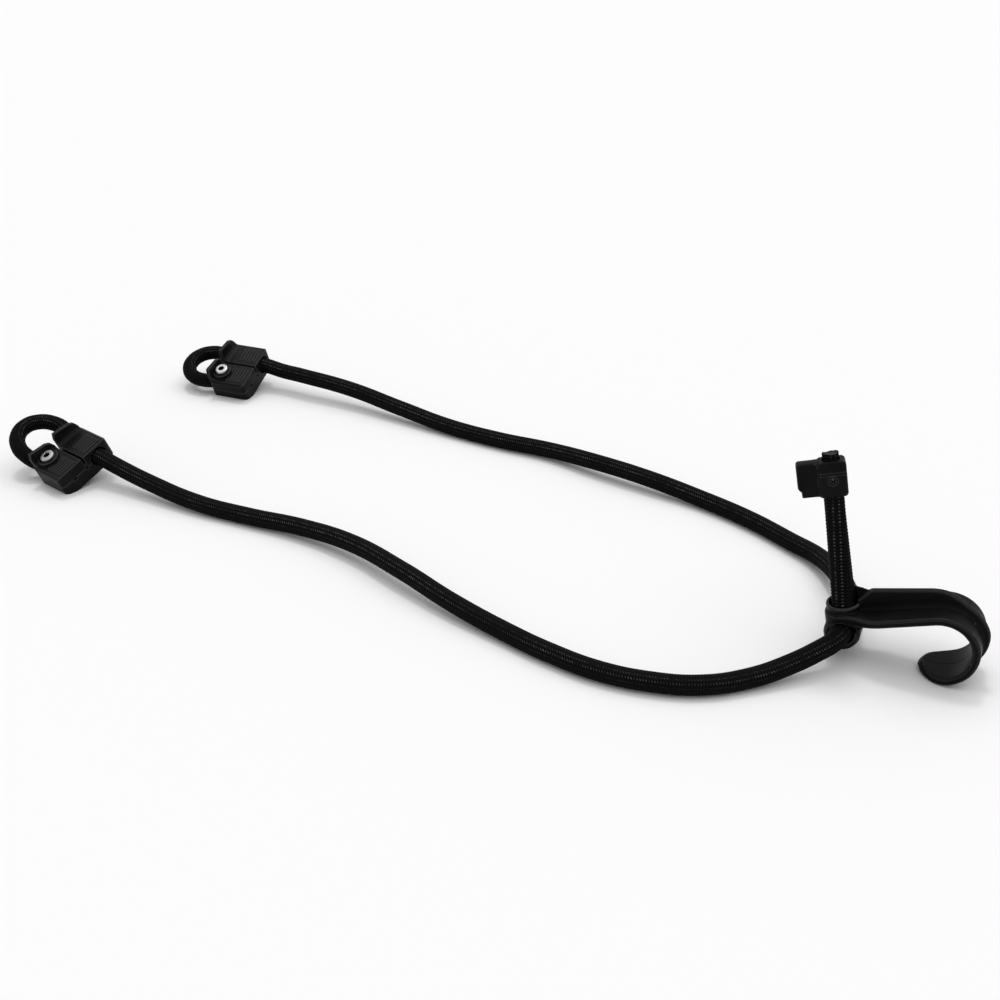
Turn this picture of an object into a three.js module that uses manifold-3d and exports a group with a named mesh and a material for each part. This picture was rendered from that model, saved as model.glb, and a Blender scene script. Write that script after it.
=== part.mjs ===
// Bungee cord with a moulded hook. Two braided elastic strands each leave an end clamp that holds
// a loop, run to the head of the hook, turn up through its collar and end in a small stop clamp.
// Frame: X from the end clamps to the hook, Y across, Z up, resting on Z = 0.
import * as THREE from "three";
import { mergeVertices } from "three/addons/utils/BufferGeometryUtils.js";
import Module from "manifold-3d";

const wasm = await Module();
wasm.setup();

// Fits: the gap left between neighbouring pieces
const GAP = 0.3;

// Elastic cord: a braided sheath over a rubber core
const CORD_D = 8;
const SHEATH_WALL = 0.7;
const HELD_D = 7.6;
const SHEATH_SIDES = 10;
const CORE_SIDES = 8;
const STRAND_STEPS = 40;

// End clamp: two lobes side by side, one for the strand and one for the tail
const CLAMP_LENGTH = 21;
const CLAMP_WIDTH = 31;
const CLAMP_HEIGHT = 12.6;
const LOBE_PITCH = 16;
const CORD_HEIGHT = 6.8;
const REST_BEVEL = 22;
const BEVEL_START = 10;
const CLAMP_CORNER = 2.2;
const TOP_CHAMFER = 1.1;
const GROOVE_WIDTH = 1.4;
const GROOVE_FLOOR = 8.4;
const END_WALL = 2.2;
const LIP_RISE = 4;
const LIP_FOOT = 4.8;
const LIP_TOP = 1.7;
const LIP_LEAN = 0.4;
const RIB_COUNT = 6;
const RIB_PITCH = 1.75;
const RIB_LENGTH = 9.6;
const RIB_THICK = 0.8;
const RIB_RISE = 0.4;
const MOUTH_FLARE = 0.9;
const MOUTH_DEPTH = 2.6;
const SLOT_WIDTH = 2.6;
const SLOT_HEIGHT = 1.1;

// Clamping screw of each end clamp, in a brass insert
const BOSS_SETBACK = 5.3;
const BOSS_R = 5;
const BOSS_RISE = 2.2;
const SCREW_HEAD_R = 3.5;
const SCREW_HEAD_H = 2.5;
const SCREW_R = 1.95;
const SCREW_BITE = 1.3;
const SOCKET_R = 1.7;
const SOCKET_DEPTH = 1.4;
const INSERT_R = 3;

// Loop beyond each end clamp
const LOOP_R = 11.6;
const LOOP_SWEEP = 125;
const TAIL_CLEAR = 0.6;

// Where the end clamps lie: plan place and heading, and how their loops rise and turn
const FRONT_CLAMP = { x: -192.8, y: -58.1, heading: -17, loopReach: 20.6, loopLift: 26, loopRoll: -8 };
const REAR_CLAMP = { x: -176.8, y: 64.7, heading: 1.5, loopReach: 18.8, loopLift: 5, loopRoll: -5 };

// Hook: a flat strip with a rib on its outer side
const HOOK_X = 209.7;
const HOOK_Y = -60.4;
const STRIP_WIDTH = 22;
const STRIP_THICK = 3.2;
const STRIP_EDGE = 0.7;
const BEND_R = 11.2;
const BEND_OPENING = 1.7;
const OPENING_START = -36;
const TIP_ROUND = -88;
const TIP_ANGLE = -138;
const ARM_LENGTH = 36;
const RIB_FOOT = 4.6;
const RIB_WAIST = 2.9;
const RIB_FILLET = 1.8;
const RIB_WIDTH = 2.5;
const RIB_HEIGHT = 8.7;
const RIB_END_HEIGHT = 6.8;
const BEND_RIB_HEIGHT = 2.7;
const RIB_FRONT = 6.4;
const RIB_END_ANGLE = -58;
const GUSSET_REACH = 5.7;
const GUSSET_BACK = 7.9;
const GUSSET_FRONT = 5.5;
const GUSSET_PEAK_DROP = 0.35;
const GUSSET_FAR_DROP = 0.1;
const GUSSET_NEAR_DROP = 3.6;
const NECK_LENGTH = 15;

// Head of the hook: a barrel across the arm with a collar above it
const BARREL_R = 7.1;
const BARREL_LOW = 1.1;
const BARREL_BACK = 1;
const BARREL_LENGTH = 16.4;
const BARREL_DROP = 3;
const BARREL_EDGE = 3.4;
const CROSS_BORE_R = 4.5;
const TURN_ROOM_R = 5.2;
const COLLAR_R = 6.5;
const COLLAR_BORE_R = 5.7;
const COLLAR_HEIGHT = 10.6;
const COLLAR_BEAD = 0.35;
const BEAD_HEIGHT = 1.5;
const SKIRT_R = 7.6;
const SKIRT_HEIGHT = 7.8;
const HOOK_PITCH = 18.5;
const STEM_LEAN = 11.5;
const STEM_TWIST = 15;

// Upright strands, squeezed side by side in the collar
const PAIR_PITCH = 5.5;
const TURN_R = 4.35;
const ENTRY_LENGTH = 2.4;
const UPRIGHT_FOOT_WIDTH = 8.4;
const UPRIGHT_TOP_WIDTH = 7.6;
const UPRIGHT_DEPTH = 5;
const UPRIGHT_SIDES = 12;

// Stop clamp on the cord ends
const STOP_Z = 58.2;
const STOP_WIDTH = 10.6;
const STOP_HEIGHT = 14.2;
const STOP_FRONT = 7;
const STOP_REAR = 7.6;
const COVER_DROP = 4.6;
const STOP_CORNER = 1.6;
const STOP_CHAMFER = 1.4;
const UPRIGHT_ENTRY = 2;
const STUB_RISE = 1.9;
const STUB_WIDTH = 6.2;
const STUB_DEPTH = 4;
const TAB_LENGTH = 7.6;
const TAB_STEP = 1.4;
const TAB_STEP_HEIGHT = 4;
const TAB_THICK = 2.6;
const TAB_BACK = 4;
const STOP_SCREW_R = 1.2;
const STOP_HEAD_R = 1.55;
const STOP_HEAD_H = 1;
const STOP_RECESS = 0.4;
const STOP_NUT_R = 2.6;
const STOP_NUT_H = 1.5;

// Routes of the free strands between the clamp and the head: plan places and heights
const FRONT_ROUTE = [
  [-172.5, -57.9, 11.2], [-149.7, -61.2, 7.4], [-120.2, -65, 4.6], [-92.1, -65.9, 4.2],
  [-64.8, -67.1, 5.4], [-35.9, -73, 7], [-4.2, -86.2, 7.8], [23.8, -97.6, 6],
  [49.4, -105.9, 4.4], [73.2, -113, 4.15], [94.6, -116.8, 4.15], [114.1, -115.8, 4.15],
  [132.2, -110.6, 4.15], [148.4, -99.3, 4.3], [160.9, -88.1, 6.6], [170, -79.4, 9.9],
];
const REAR_ROUTE = [
  [-154.2, 69.9, 11.3], [-143.2, 68.8, 11.2], [-110.4, 66.2, 9.6], [-77.2, 60.3, 6.6],
  [-46.5, 54.6, 4.3], [-16.9, 50.7, 4.15], [11.3, 48.8, 4.7], [39.9, 41.5, 6.6],
  [67, 35.6, 6.4], [93.1, 29.9, 4.5], [120.1, 19.4, 4.15], [141.4, 7.1, 4.3],
  [154.9, -2.5, 5.4], [166.2, -18.9, 8.2], [172.7, -32.9, 10],
];

// Sizes that follow from the driving ones
const rad = THREE.MathUtils.degToRad;
const STRIP_HALF = STRIP_WIDTH / 2;
const BARREL_HALF = BARREL_LENGTH / 2;
const LOBE_Y = LOBE_PITCH / 2;
const HELD_R = HELD_D / 2;
const CHANNEL_R = HELD_R + GAP;
const HALF_LENGTH = CLAMP_LENGTH / 2;
const HALF_WIDTH = CLAMP_WIDTH / 2;
const BOSS_X = BOSS_SETBACK - HALF_LENGTH;
const BOSS_TOP = CLAMP_HEIGHT + BOSS_RISE;
const SPAN = 400;

// Finishes
const moulded = new THREE.MeshStandardMaterial({ color: 0x1b1b1c, roughness: 0.5, metalness: 0 });
const braid = new THREE.MeshStandardMaterial({ color: 0x101011, roughness: 0.85, metalness: 0 });
const rubber = new THREE.MeshStandardMaterial({ color: 0x2a2622, roughness: 0.9, metalness: 0 });
const stainless = new THREE.MeshStandardMaterial({ color: 0xc9cacb, roughness: 0.3, metalness: 1 });
const brass = new THREE.MeshStandardMaterial({ color: 0xb08d4a, roughness: 0.35, metalness: 1 });

// Closed geometry to a solid that can be joined and cut, and back
function solid(geometry) {
  const bare = geometry.clone();
  bare.deleteAttribute("normal");
  bare.deleteAttribute("uv");
  const merged = mergeVertices(bare, 1e-4);
  const made = new wasm.Mesh({
    numProp: 3,
    vertProperties: merged.attributes.position.array,
    triVerts: new Uint32Array(merged.index.array),
  });
  return new wasm.Manifold(made);
}

function geometryOf(body) {
  const mesh = body.getMesh();
  const geometry = new THREE.BufferGeometry();
  geometry.setAttribute("position", new THREE.BufferAttribute(mesh.vertProperties, mesh.numProp));
  geometry.setIndex(new THREE.BufferAttribute(mesh.triVerts, 1));
  geometry.computeVertexNormals();
  return geometry;
}

function piece(name, geometry, material) {
  const mesh = new THREE.Mesh(geometry, material);
  mesh.name = name;
  return mesh;
}

// Flat outline pushed up Z, along Y or along X, from a start to an end
function upZ(shape, from, to, curveSegments = 6) {
  const made = new THREE.ExtrudeGeometry(shape, { depth: to - from, bevelEnabled: false, curveSegments });
  return made.translate(0, 0, from);
}

function alongY(shape, from, to, curveSegments = 6) {
  const made = new THREE.ExtrudeGeometry(shape, { depth: to - from, bevelEnabled: false, curveSegments });
  return made.rotateX(Math.PI / 2).translate(0, to, 0);
}

function alongX(shape, from, to, curveSegments = 6) {
  const made = new THREE.ExtrudeGeometry(shape, { depth: to - from, bevelEnabled: false, curveSegments });
  const turn = new THREE.Matrix4().makeBasis(
    new THREE.Vector3(0, 1, 0), new THREE.Vector3(0, 0, 1), new THREE.Vector3(1, 0, 0),
  );
  return made.applyMatrix4(turn).translate(from, 0, 0);
}

function outline(points) {
  return new THREE.Shape(points.map(([x, y]) => new THREE.Vector2(x, y)));
}

function roundedRect(x0, y0, x1, y1, r) {
  const shape = new THREE.Shape();
  shape.absarc(x1 - r, y1 - r, r, 0, Math.PI / 2);
  shape.absarc(x0 + r, y1 - r, r, Math.PI / 2, Math.PI);
  shape.absarc(x0 + r, y0 + r, r, Math.PI, 1.5 * Math.PI);
  shape.absarc(x1 - r, y0 + r, r, 1.5 * Math.PI, 2 * Math.PI);
  shape.closePath();
  return shape;
}

function box(x0, y0, z0, x1, y1, z1) {
  const made = new THREE.BoxGeometry(x1 - x0, y1 - y0, z1 - z0);
  return made.translate((x0 + x1) / 2, (y0 + y1) / 2, (z0 + z1) / 2);
}

// Round bars standing up Z, or lying along X or Y
function barZ(r, from, to, sides) {
  const made = new THREE.CylinderGeometry(r, r, to - from, sides);
  return made.rotateX(Math.PI / 2).translate(0, 0, (from + to) / 2);
}

function barX(r, from, to, sides) {
  const made = new THREE.CylinderGeometry(r, r, to - from, sides);
  return made.rotateZ(Math.PI / 2).translate((from + to) / 2, 0, 0);
}

function barY(r, from, to, sides) {
  return new THREE.CylinderGeometry(r, r, to - from, sides).translate(0, (from + to) / 2, 0);
}

// Skin over a row of like rings, closed at both ends
function loft(rings) {
  const n = rings[0].length;
  const index = [];
  for (let r = 0; r < rings.length - 1; r++) {
    for (let i = 0; i < n; i++) {
      const a = r * n + i;
      const b = r * n + ((i + 1) % n);
      index.push(a, b, a + n, b, b + n, a + n);
    }
  }
  const last = (rings.length - 1) * n;
  for (let i = 1; i < n - 1; i++) {
    index.push(0, i + 1, i, last, last + i, last + i + 1);
  }
  const places = rings.flat().flatMap((p) => [p.x, p.y, p.z]);
  const geometry = new THREE.BufferGeometry();
  geometry.setAttribute("position", new THREE.Float32BufferAttribute(places, 3));
  geometry.setIndex(index);
  return geometry;
}

// Round tube along a smooth route, solid or with a bore
function tube(points, r, sides, steps, bore = 0) {
  const section = new THREE.Shape();
  section.absarc(0, 0, r, 0, 2 * Math.PI);
  if (bore > 0) {
    const hole = new THREE.Path();
    hole.absarc(0, 0, bore, 0, 2 * Math.PI, true);
    section.holes.push(hole);
  }
  const extrudePath = new THREE.CatmullRomCurve3(points, false, "centripetal");
  return new THREE.ExtrudeGeometry(section, { steps, extrudePath, curveSegments: sides / 2 });
}

// End clamp: outline with round corners, flat top and bevelled underside
function clampBlank() {
  const plan = roundedRect(-HALF_LENGTH, -HALF_WIDTH, HALF_LENGTH, HALF_WIDTH, CLAMP_CORNER);
  const rise = (HALF_WIDTH - BEVEL_START) * Math.tan(rad(REST_BEVEL));
  const section = outline([
    [-BEVEL_START, 0], [BEVEL_START, 0], [HALF_WIDTH, rise],
    [HALF_WIDTH, CLAMP_HEIGHT - TOP_CHAMFER], [HALF_WIDTH - TOP_CHAMFER, CLAMP_HEIGHT],
    [TOP_CHAMFER - HALF_WIDTH, CLAMP_HEIGHT], [-HALF_WIDTH, CLAMP_HEIGHT - TOP_CHAMFER],
    [-HALF_WIDTH, rise],
  ]);
  const body = solid(upZ(plan, 0, CLAMP_HEIGHT));
  return body.intersect(solid(alongX(section, -HALF_LENGTH, HALF_LENGTH)));
}

// Cord channels: right through the strand's lobe, blind in the tail's lobe
function clampChannels() {
  const through = barX(CHANNEL_R, -CLAMP_LENGTH, CLAMP_LENGTH, 16).translate(0, LOBE_Y, CORD_HEIGHT);
  const blind = barX(CHANNEL_R, -CLAMP_LENGTH, HALF_LENGTH - END_WALL, 16);
  let channels = solid(through).add(solid(blind.translate(0, -LOBE_Y, CORD_HEIGHT)));
  for (const [end, lobe] of [[1, LOBE_Y], [-1, LOBE_Y], [-1, -LOBE_Y]]) {
    const flare = new THREE.CylinderGeometry(CHANNEL_R + MOUTH_FLARE, CHANNEL_R, MOUTH_DEPTH, 16);
    flare.rotateZ((-end * Math.PI) / 2);
    channels = channels.add(solid(flare.translate(end * (HALF_LENGTH - MOUTH_DEPTH / 2), lobe, CORD_HEIGHT)));
  }
  return channels;
}

function clampBase() {
  const upper = CORD_HEIGHT - GAP / 2;
  const keep = solid(box(-SPAN, -SPAN, -SPAN, SPAN, SPAN, upper));
  const slotFloor = upper - SLOT_HEIGHT;
  const slotFrom = HALF_LENGTH - END_WALL / 2;
  const slotHalf = SLOT_WIDTH / 2;
  const slot = box(slotFrom, -LOBE_Y - slotHalf, slotFloor, CLAMP_LENGTH, slotHalf - LOBE_Y, SPAN);
  const grooveFrom = HALF_LENGTH - END_WALL;
  const grooveHalf = GROOVE_WIDTH / 2;
  const groove = box(grooveFrom, -grooveHalf, slotFloor, CLAMP_LENGTH, grooveHalf, SPAN);
  return clampBlank().intersect(keep).subtract(clampChannels()).subtract(solid(slot)).subtract(solid(groove));
}

// Thumb lip at the loop end of a lobe: a wall with a hollow face that leans out over the loop
function clampLip(y0, y1) {
  const side = new THREE.Shape();
  const top = CLAMP_HEIGHT + LIP_RISE;
  const ridge = LIP_TOP - LIP_LEAN - HALF_LENGTH;
  side.moveTo(-HALF_LENGTH, CORD_HEIGHT + CHANNEL_R);
  side.lineTo(LIP_FOOT - HALF_LENGTH, CORD_HEIGHT + CHANNEL_R);
  side.lineTo(LIP_FOOT - HALF_LENGTH, CLAMP_HEIGHT);
  side.quadraticCurveTo(ridge, CLAMP_HEIGHT, ridge, top);
  side.lineTo(-HALF_LENGTH - LIP_LEAN, top);
  side.lineTo(-HALF_LENGTH, CLAMP_HEIGHT);
  const slope = outline([
    [y0, CORD_HEIGHT + CHANNEL_R], [y1, CORD_HEIGHT + CHANNEL_R], [y1, top - 2 * TOP_CHAMFER],
    [y1 - TOP_CHAMFER, top - TOP_CHAMFER], [y1 - 3 * TOP_CHAMFER, top - TOP_CHAMFER / 2],
    [y0 + TOP_CHAMFER, top], [y0, top - TOP_CHAMFER],
  ]);
  return solid(alongY(side, y0, y1)).intersect(solid(alongX(slope, -CLAMP_LENGTH, 0)));
}

function clampCap() {
  const lower = CORD_HEIGHT + GAP / 2;
  let cap = clampBlank().intersect(solid(box(-SPAN, -SPAN, lower, SPAN, SPAN, SPAN)));
  const inner = GROOVE_WIDTH / 2;
  const outer = HALF_WIDTH - TOP_CHAMFER;
  cap = cap.add(clampLip(inner, outer)).add(clampLip(-outer, -inner));
  for (const lobe of [-LOBE_Y, LOBE_Y]) {
    for (let i = 0; i < RIB_COUNT; i++) {
      const x = HALF_LENGTH - CLAMP_CORNER - i * RIB_PITCH;
      const rib = box(
        x - RIB_THICK / 2, lobe - RIB_LENGTH / 2, CLAMP_HEIGHT - RIB_RISE,
        x + RIB_THICK / 2, lobe + RIB_LENGTH / 2, CLAMP_HEIGHT + RIB_RISE,
      );
      cap = cap.add(solid(rib));
    }
  }
  const boss = barZ(BOSS_R, CORD_HEIGHT + CHANNEL_R, BOSS_TOP, 24).translate(BOSS_X, -LOBE_Y, 0);
  const seat = barZ(INSERT_R + GAP, 0, SPAN, 20).translate(BOSS_X, -LOBE_Y, 0);
  const headRoom = barZ(SCREW_HEAD_R + GAP, BOSS_TOP, SPAN, 24).translate(BOSS_X, -LOBE_Y, 0);
  const groove = box(-SPAN, -inner, GROOVE_FLOOR, SPAN, inner, SPAN);
  return cap.add(solid(boss))
    .subtract(clampChannels())
    .subtract(solid(seat))
    .subtract(solid(headRoom))
    .subtract(solid(groove));
}

// Screw with a hex socket, and the ring-shaped insert that it runs in
function clampScrew() {
  const tip = CORD_HEIGHT + HELD_R - SCREW_BITE;
  const seat = BOSS_TOP + GAP;
  const top = seat + SCREW_HEAD_H;
  const round = SCREW_HEAD_H / 4;
  const profile = [
    [0, tip], [SCREW_R - GAP, tip], [SCREW_R, tip + GAP], [SCREW_R, seat], [SCREW_HEAD_R, seat],
    [SCREW_HEAD_R, top - round], [SCREW_HEAD_R - round, top], [0, top],
  ];
  const turned = new THREE.LatheGeometry(profile.map(([r, z]) => new THREE.Vector2(r, z)), 24);
  const socket = barZ(SOCKET_R, top - SOCKET_DEPTH, top + SOCKET_DEPTH, 6);
  return solid(turned.rotateX(Math.PI / 2)).subtract(solid(socket));
}

function clampInsert() {
  const foot = CORD_HEIGHT + HELD_R + GAP;
  return solid(barZ(INSERT_R, foot, BOSS_TOP, 20)).subtract(solid(barZ(SCREW_R + GAP, 0, SPAN, 20)));
}

// Loop: from the blind end of the tail's lobe, round, and back into the strand's lobe
const SEAM_X = HALF_LENGTH - MOUTH_DEPTH / 2;

function clampLoop(place) {
  const points = [];
  const tail = HALF_LENGTH - END_WALL - TAIL_CLEAR;
  for (const x of [tail, 0, -0.6 * HALF_LENGTH, -0.9 * HALF_LENGTH]) {
    points.push(new THREE.Vector3(x, -LOBE_Y, CORD_HEIGHT));
  }
  const turns = 8;
  for (let i = 0; i <= turns; i++) {
    const angle = rad(180 + LOOP_SWEEP * (1 - (2 * i) / turns));
    const x = -place.loopReach + LOOP_R * Math.cos(angle);
    const y = LOOP_R * Math.sin(angle);
    const out = -x - HALF_LENGTH;
    const share = THREE.MathUtils.smoothstep(out, 0, place.loopReach - HALF_LENGTH);
    const z = CORD_HEIGHT + share * (out * Math.tan(rad(place.loopLift)) + y * Math.tan(rad(place.loopRoll)));
    points.push(new THREE.Vector3(x, y, z));
  }
  for (const x of [-0.9 * HALF_LENGTH, -0.6 * HALF_LENGTH, 0, SEAM_X]) {
    points.push(new THREE.Vector3(x, LOBE_Y, CORD_HEIGHT));
  }
  const dent = barZ(SCREW_R + GAP, CORD_HEIGHT + HELD_R - SCREW_BITE - GAP, SPAN, 16);
  return solid(tube(points, HELD_R, SHEATH_SIDES, 44)).subtract(solid(dent.translate(BOSS_X, -LOBE_Y, 0)));
}

// A clamp lies rolled on to its bevel, which sets its height
function placeClamp(group, place) {
  group.rotation.order = "ZXY";
  group.rotation.z = rad(place.heading);
  group.rotation.x = rad(REST_BEVEL);
  group.position.set(place.x, place.y, BEVEL_START * Math.sin(rad(REST_BEVEL)));
  group.updateMatrixWorld(true);
}

function endClamp(side, place) {
  const group = new THREE.Group();
  const screw = piece(`${side}_clamp_screw`, geometryOf(clampScrew()), stainless);
  const insert = piece(`${side}_clamp_insert`, geometryOf(clampInsert()), brass);
  for (const mesh of [screw, insert]) {
    mesh.position.set(BOSS_X, -LOBE_Y, 0);
  }
  group.add(
    piece(`${side}_clamp_base`, geometryOf(clampBase()), moulded),
    piece(`${side}_clamp_cap`, geometryOf(clampCap()), moulded),
    piece(`${side}_loop`, geometryOf(clampLoop(place)), braid),
    insert,
    screw,
  );
  placeClamp(group, place);
  return group;
}

// Hook in its own frame: the arm's flat underside is z = 0 and the bend starts at x = 0
const BARREL = new THREE.Vector3(-ARM_LENGTH, 0, -BARREL_DROP);

// Line of the strip's inner face: a place and the outward direction at each station
function stripStation(angle) {
  const opened = Math.max(0, (OPENING_START - angle) / (OPENING_START - TIP_ANGLE));
  const out = new THREE.Vector3(Math.cos(rad(angle)), 0, Math.sin(rad(angle)));
  const place = out.clone().multiplyScalar(BEND_R + BEND_OPENING * opened);
  place.z -= BEND_R;
  const round = Math.max(0, (TIP_ROUND - angle) / (TIP_ROUND - TIP_ANGLE));
  return { place, out, half: STRIP_HALF * Math.sqrt(Math.max(0.03, 1 - round * round)), thick: STRIP_THICK };
}

// At the head the strip starts as wide and as thick as the collar's skirt and eases into its own section
function neckStation(share) {
  const eased = THREE.MathUtils.smoothstep(share, 0, 1);
  return {
    place: new THREE.Vector3(share * NECK_LENGTH - ARM_LENGTH, 0, 0),
    out: new THREE.Vector3(0, 0, 1),
    half: THREE.MathUtils.lerp(SKIRT_R, STRIP_HALF, eased),
    thick: THREE.MathUtils.lerp(SKIRT_HEIGHT - BARREL_DROP, STRIP_THICK, eased),
  };
}

function stripStations() {
  const stations = [0, 0.2, 0.4, 0.6, 0.8, 1].map(neckStation);
  const turns = 27;
  for (let i = 0; i < turns; i++) {
    stations.push(stripStation(90 + (TIP_ROUND - 90) * (i / turns)));
  }
  for (let i = 0; i <= 8; i++) {
    stations.push(stripStation(TIP_ROUND + (TIP_ANGLE - TIP_ROUND) * Math.sin((i / 8) * Math.PI / 2)));
  }
  return stations;
}

function ring(station, section) {
  return section.map(([y, h]) => station.place.clone().addScaledVector(station.out, h).setY(y));
}

function strip() {
  const e = STRIP_EDGE;
  return loft(stripStations().map((s) => ring(s, [
    [s.half - e, 0], [s.half, e], [s.half, s.thick - e], [s.half - e, s.thick],
    [e - s.half, s.thick], [-s.half, s.thick - e], [-s.half, e], [e - s.half, 0],
  ])));
}

// Rib heights: tall along the arm, sloping down into the bend and dying out below it
function ribHeight(angle) {
  const steps = [
    [90, RIB_END_HEIGHT], [77, 0.88 * RIB_END_HEIGHT], [48, BEND_RIB_HEIGHT], [0, BEND_RIB_HEIGHT],
    [RIB_END_ANGLE, 0.3],
  ];
  for (let i = 1; i < steps.length; i++) {
    const [a, ha] = steps[i - 1];
    const [b, hb] = steps[i];
    if (angle >= b) {
      return hb + (ha - hb) * ((angle - b) / (a - b));
    }
  }
  return 0;
}

function rib() {
  const up = new THREE.Vector3(0, 0, 1);
  const rows = [
    [{ place: new THREE.Vector3(COLLAR_R - ARM_LENGTH, 0, 0), out: up }, RIB_HEIGHT / 2],
    [{ place: new THREE.Vector3(COLLAR_R + RIB_FRONT - ARM_LENGTH, 0, 0), out: up }, RIB_HEIGHT],
  ];
  const turns = 22;
  for (let i = 0; i <= turns; i++) {
    const angle = 90 + (RIB_END_ANGLE - 90) * (i / turns);
    rows.push([stripStation(angle), ribHeight(angle)]);
  }
  const foot = RIB_FOOT / 2;
  const waist = RIB_WAIST / 2;
  const half = RIB_WIDTH / 2;
  const root = STRIP_THICK - STRIP_EDGE;
  return loft(rows.map(([station, height]) => {
    const top = STRIP_THICK + height;
    const crown = Math.min(0.6, height / 3);
    const fillet = Math.min(RIB_FILLET, height / 3);
    const mid = (foot + 2 * waist) / 3;
    const flank = [
      [foot, root], [foot, STRIP_THICK], [mid, STRIP_THICK + fillet / 3], [waist, STRIP_THICK + fillet],
      [half, top - crown], [half - crown, top],
    ];
    const farFlank = flank.map(([y, h]) => [-y, h]).reverse();
    return ring(station, [...flank, ...farFlank]);
  }));
}

// Web between the rib and the collar: its top runs from the rib's peak to the collar's far side
function gusset() {
  const peak = { x: COLLAR_R + RIB_FRONT - ARM_LENGTH, y: 0, z: STRIP_THICK + RIB_HEIGHT - GUSSET_PEAK_DROP };
  const corners = [
    [peak.x, peak.y, peak.z],
    [peak.x - GUSSET_BACK, GUSSET_REACH, peak.z - GUSSET_FAR_DROP],
    [-ARM_LENGTH, 0, STRIP_THICK],
    [peak.x - GUSSET_FRONT, -RIB_WIDTH / 2, peak.z - GUSSET_NEAR_DROP],
  ];
  const upper = corners.map((c) => new THREE.Vector3(...c));
  const lower = upper.map((c) => c.clone().setZ(STRIP_THICK / 2));
  return loft([lower, upper]);
}

// Barrel across the arm, with eased ends, and the collar that stands on it
function barrel() {
  const end = BARREL_HALF;
  const ease = BARREL_EDGE * (1 - Math.SQRT1_2);
  const profile = [
    [0, -end], [BARREL_R - BARREL_EDGE, -end], [BARREL_R - ease, ease - end], [BARREL_R, BARREL_EDGE - end],
    [BARREL_R, end - BARREL_EDGE], [BARREL_R - ease, end - ease], [BARREL_R - BARREL_EDGE, end], [0, end],
  ];
  return new THREE.LatheGeometry(profile.map(([r, y]) => new THREE.Vector2(r, y)), 36);
}

function stemTurn(geometry) {
  return geometry.rotateY(rad(HOOK_PITCH - STEM_LEAN)).translate(BARREL.x, 0, BARREL.z);
}

function hookBody() {
  const edge = (COLLAR_R - COLLAR_BORE_R) / 3;
  const rim = COLLAR_R + COLLAR_BEAD;
  const skirt = [
    [0, 0], [SKIRT_R, 0], [SKIRT_R, SKIRT_HEIGHT - 1], [COLLAR_R, SKIRT_HEIGHT],
    [COLLAR_R, COLLAR_HEIGHT - BEAD_HEIGHT], [rim, COLLAR_HEIGHT - 0.8 * BEAD_HEIGHT],
    [rim, COLLAR_HEIGHT - edge], [rim - edge, COLLAR_HEIGHT], [0, COLLAR_HEIGHT],
  ];
  const collar = new THREE.LatheGeometry(skirt.map(([r, z]) => new THREE.Vector2(r, z)), 32);
  const bore = stemTurn(barZ(COLLAR_BORE_R, 0, SPAN, 28));
  const cross = barY(CROSS_BORE_R, -SPAN, SPAN, 24).translate(BARREL.x, 0, BARREL.z);
  const turnHalf = PAIR_PITCH / 2 + TURN_R;
  const turnRoom = barY(TURN_ROOM_R, -turnHalf, turnHalf, 24).translate(BARREL.x, 0, BARREL.z);
  return solid(strip())
    .add(solid(rib()))
    .add(solid(gusset()))
    .add(solid(barrel().translate(BARREL.x - BARREL_BACK, 0, BARREL.z - BARREL_LOW)))
    .add(solid(stemTurn(collar.rotateX(Math.PI / 2))))
    .subtract(solid(bore))
    .subtract(solid(cross))
    .subtract(solid(turnRoom));
}

const hook = piece("hook", geometryOf(hookBody()), moulded);
hook.rotation.y = -rad(HOOK_PITCH);
hook.updateMatrixWorld(true);
const hookBox = new THREE.Box3().setFromObject(hook, true);
hook.position.set(HOOK_X, HOOK_Y, -hookBox.min.z);
hook.updateMatrixWorld(true);
const head = BARREL.clone().applyMatrix4(hook.matrixWorld);

// Stem: the upright strands and the stop clamp, in a frame that stands on the barrel's axis
const stem = new THREE.Group();
stem.position.copy(head);
stem.rotation.y = -rad(STEM_LEAN);

// Oval ring of a squeezed cord, lying square to a direction in the YZ plane
function ovalRing(y, z, turn, halfWidth, halfDepth, side, twist) {
  const places = [];
  const up = new THREE.Vector3(0, 0, 1);
  for (let i = 0; i < UPRIGHT_SIDES; i++) {
    const a = (2 * Math.PI * i) / UPRIGHT_SIDES;
    const depth = halfDepth * Math.sin(a);
    places.push(new THREE.Vector3(
      halfWidth * Math.cos(a) * side, side * (y + depth * Math.cos(turn)), z + depth * Math.sin(turn),
    ).applyAxisAngle(up, rad(twist)));
  }
  return places;
}

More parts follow.
